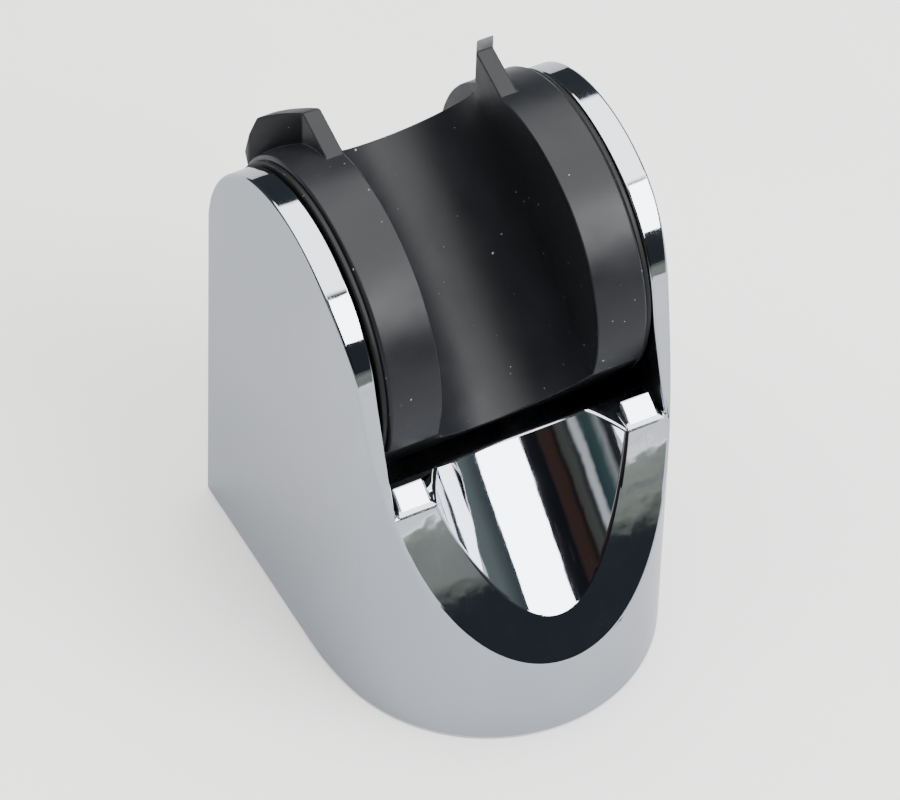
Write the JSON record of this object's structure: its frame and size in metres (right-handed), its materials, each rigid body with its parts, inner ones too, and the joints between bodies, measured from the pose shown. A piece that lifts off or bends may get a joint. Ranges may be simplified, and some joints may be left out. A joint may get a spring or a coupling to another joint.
{
  "type": "swivel handset wall holder",
  "caption": "Chrome wall bracket for a hand spray or shower handset, with a black tilting grooved cradle, two small ears and a hose scoop in its sloped nose.",
  "frame": {"origin": "on the wall face, in the plane of symmetry, where the straight sides end and the rounded nose begins", "axes": "+Z away from the wall, +Y towards the flat top end, +X along the cradle's pivot towards the right cheek"},
  "size_m": [0.05, 0.0625, 0.0775],
  "materials": {
    "chrome_shell": "bright chrome plating on ABS",
    "black_cradle": "satin black moulded nylon",
    "friction_plastic": "dull black friction plastic",
    "stainless": "turned stainless steel",
    "spring_steel": "polished spring steel",
    "acetal": "natural white acetal",
    "seal_rubber": "soft black rubber",
    "yoke_nylon": "grey glass-filled nylon",
    "zinc_steel": "bright zinc-plated steel",
    "lining": "brown friction lining",
    "brass": "turned brass",
    "dark_steel": "blackened steel"
  },
  "bodies": {
    "holder": {"housing": "chrome_shell", "wall_plate": "zinc_steel", "lock_nut": "brass", "lock_screw": "dark_steel", "cradle_yoke": "yoke_nylon", "yoke_screws": "zinc_steel", "left_bearing_bush": "acetal", "right_bearing_bush": "acetal", "left_pin_o_ring": "seal_rubber", "right_pin_o_ring": "seal_rubber", "preload_screw": "brass", "brake_spring": "spring_steel"},
    "cradle": {"cradle": "black_cradle", "left_pivot_pin": "stainless", "right_pivot_pin": "stainless", "left_wave_washer": "spring_steel", "right_wave_washer": "spring_steel", "left_friction_disc": "friction_plastic", "right_friction_disc": "friction_plastic"},
    "shoe": {"brake_shoe": "acetal", "shoe_lining": "lining"}
  },
  "joints": [
    {"name": "cradle_tilt", "type": "hinge", "parent": "holder", "child": "cradle", "pos_m": [0, 0.011, 0.0534], "axis": [1, 0, 0], "range_deg": [-33, 30]},
    {"name": "shoe_slide", "type": "slide", "parent": "holder", "child": "shoe", "axis": [0, 0, -1], "range_m": [0, 0.001], "stiffness_N_per_m": 3000, "springref_m": -0.004, "deforming": ["brake_spring"]}
  ]
}
